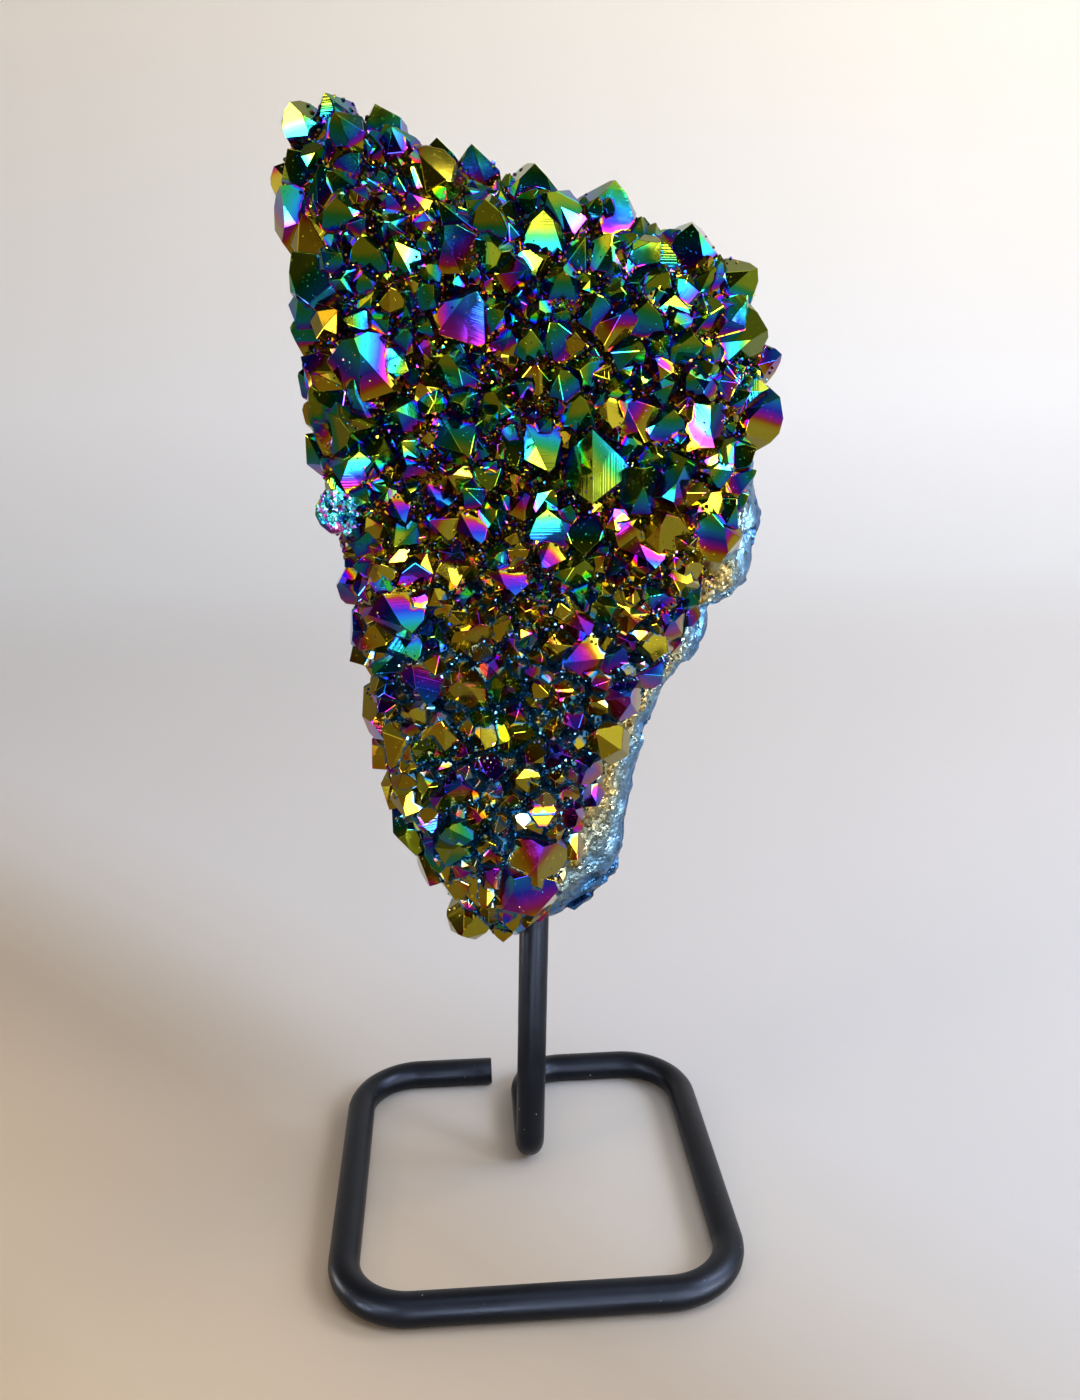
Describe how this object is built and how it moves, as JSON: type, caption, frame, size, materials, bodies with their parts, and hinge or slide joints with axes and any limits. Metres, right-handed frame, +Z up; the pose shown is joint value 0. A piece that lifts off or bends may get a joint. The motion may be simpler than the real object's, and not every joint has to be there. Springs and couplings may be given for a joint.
{
  "type": "aura quartz cluster",
  "caption": "Rainbow metal-coated quartz crystal slab standing on a black bent-rod display stand, to set on a shelf or table.",
  "frame": {"origin": "middle of the part's box, at the table under the rod loop", "axes": "+Z up along the post, -Y the way the crystal face looks, +X to the right of that face"},
  "size_m": [0.1184, 0.106, 0.2777],
  "materials": {
    "black_steel": "satin",
    "aura_quartz": "polished"
  },
  "bodies": {
    "root": {"rod_stand": "black_steel", "quartz_cluster": "aura_quartz"}
  },
  "joints": []
}
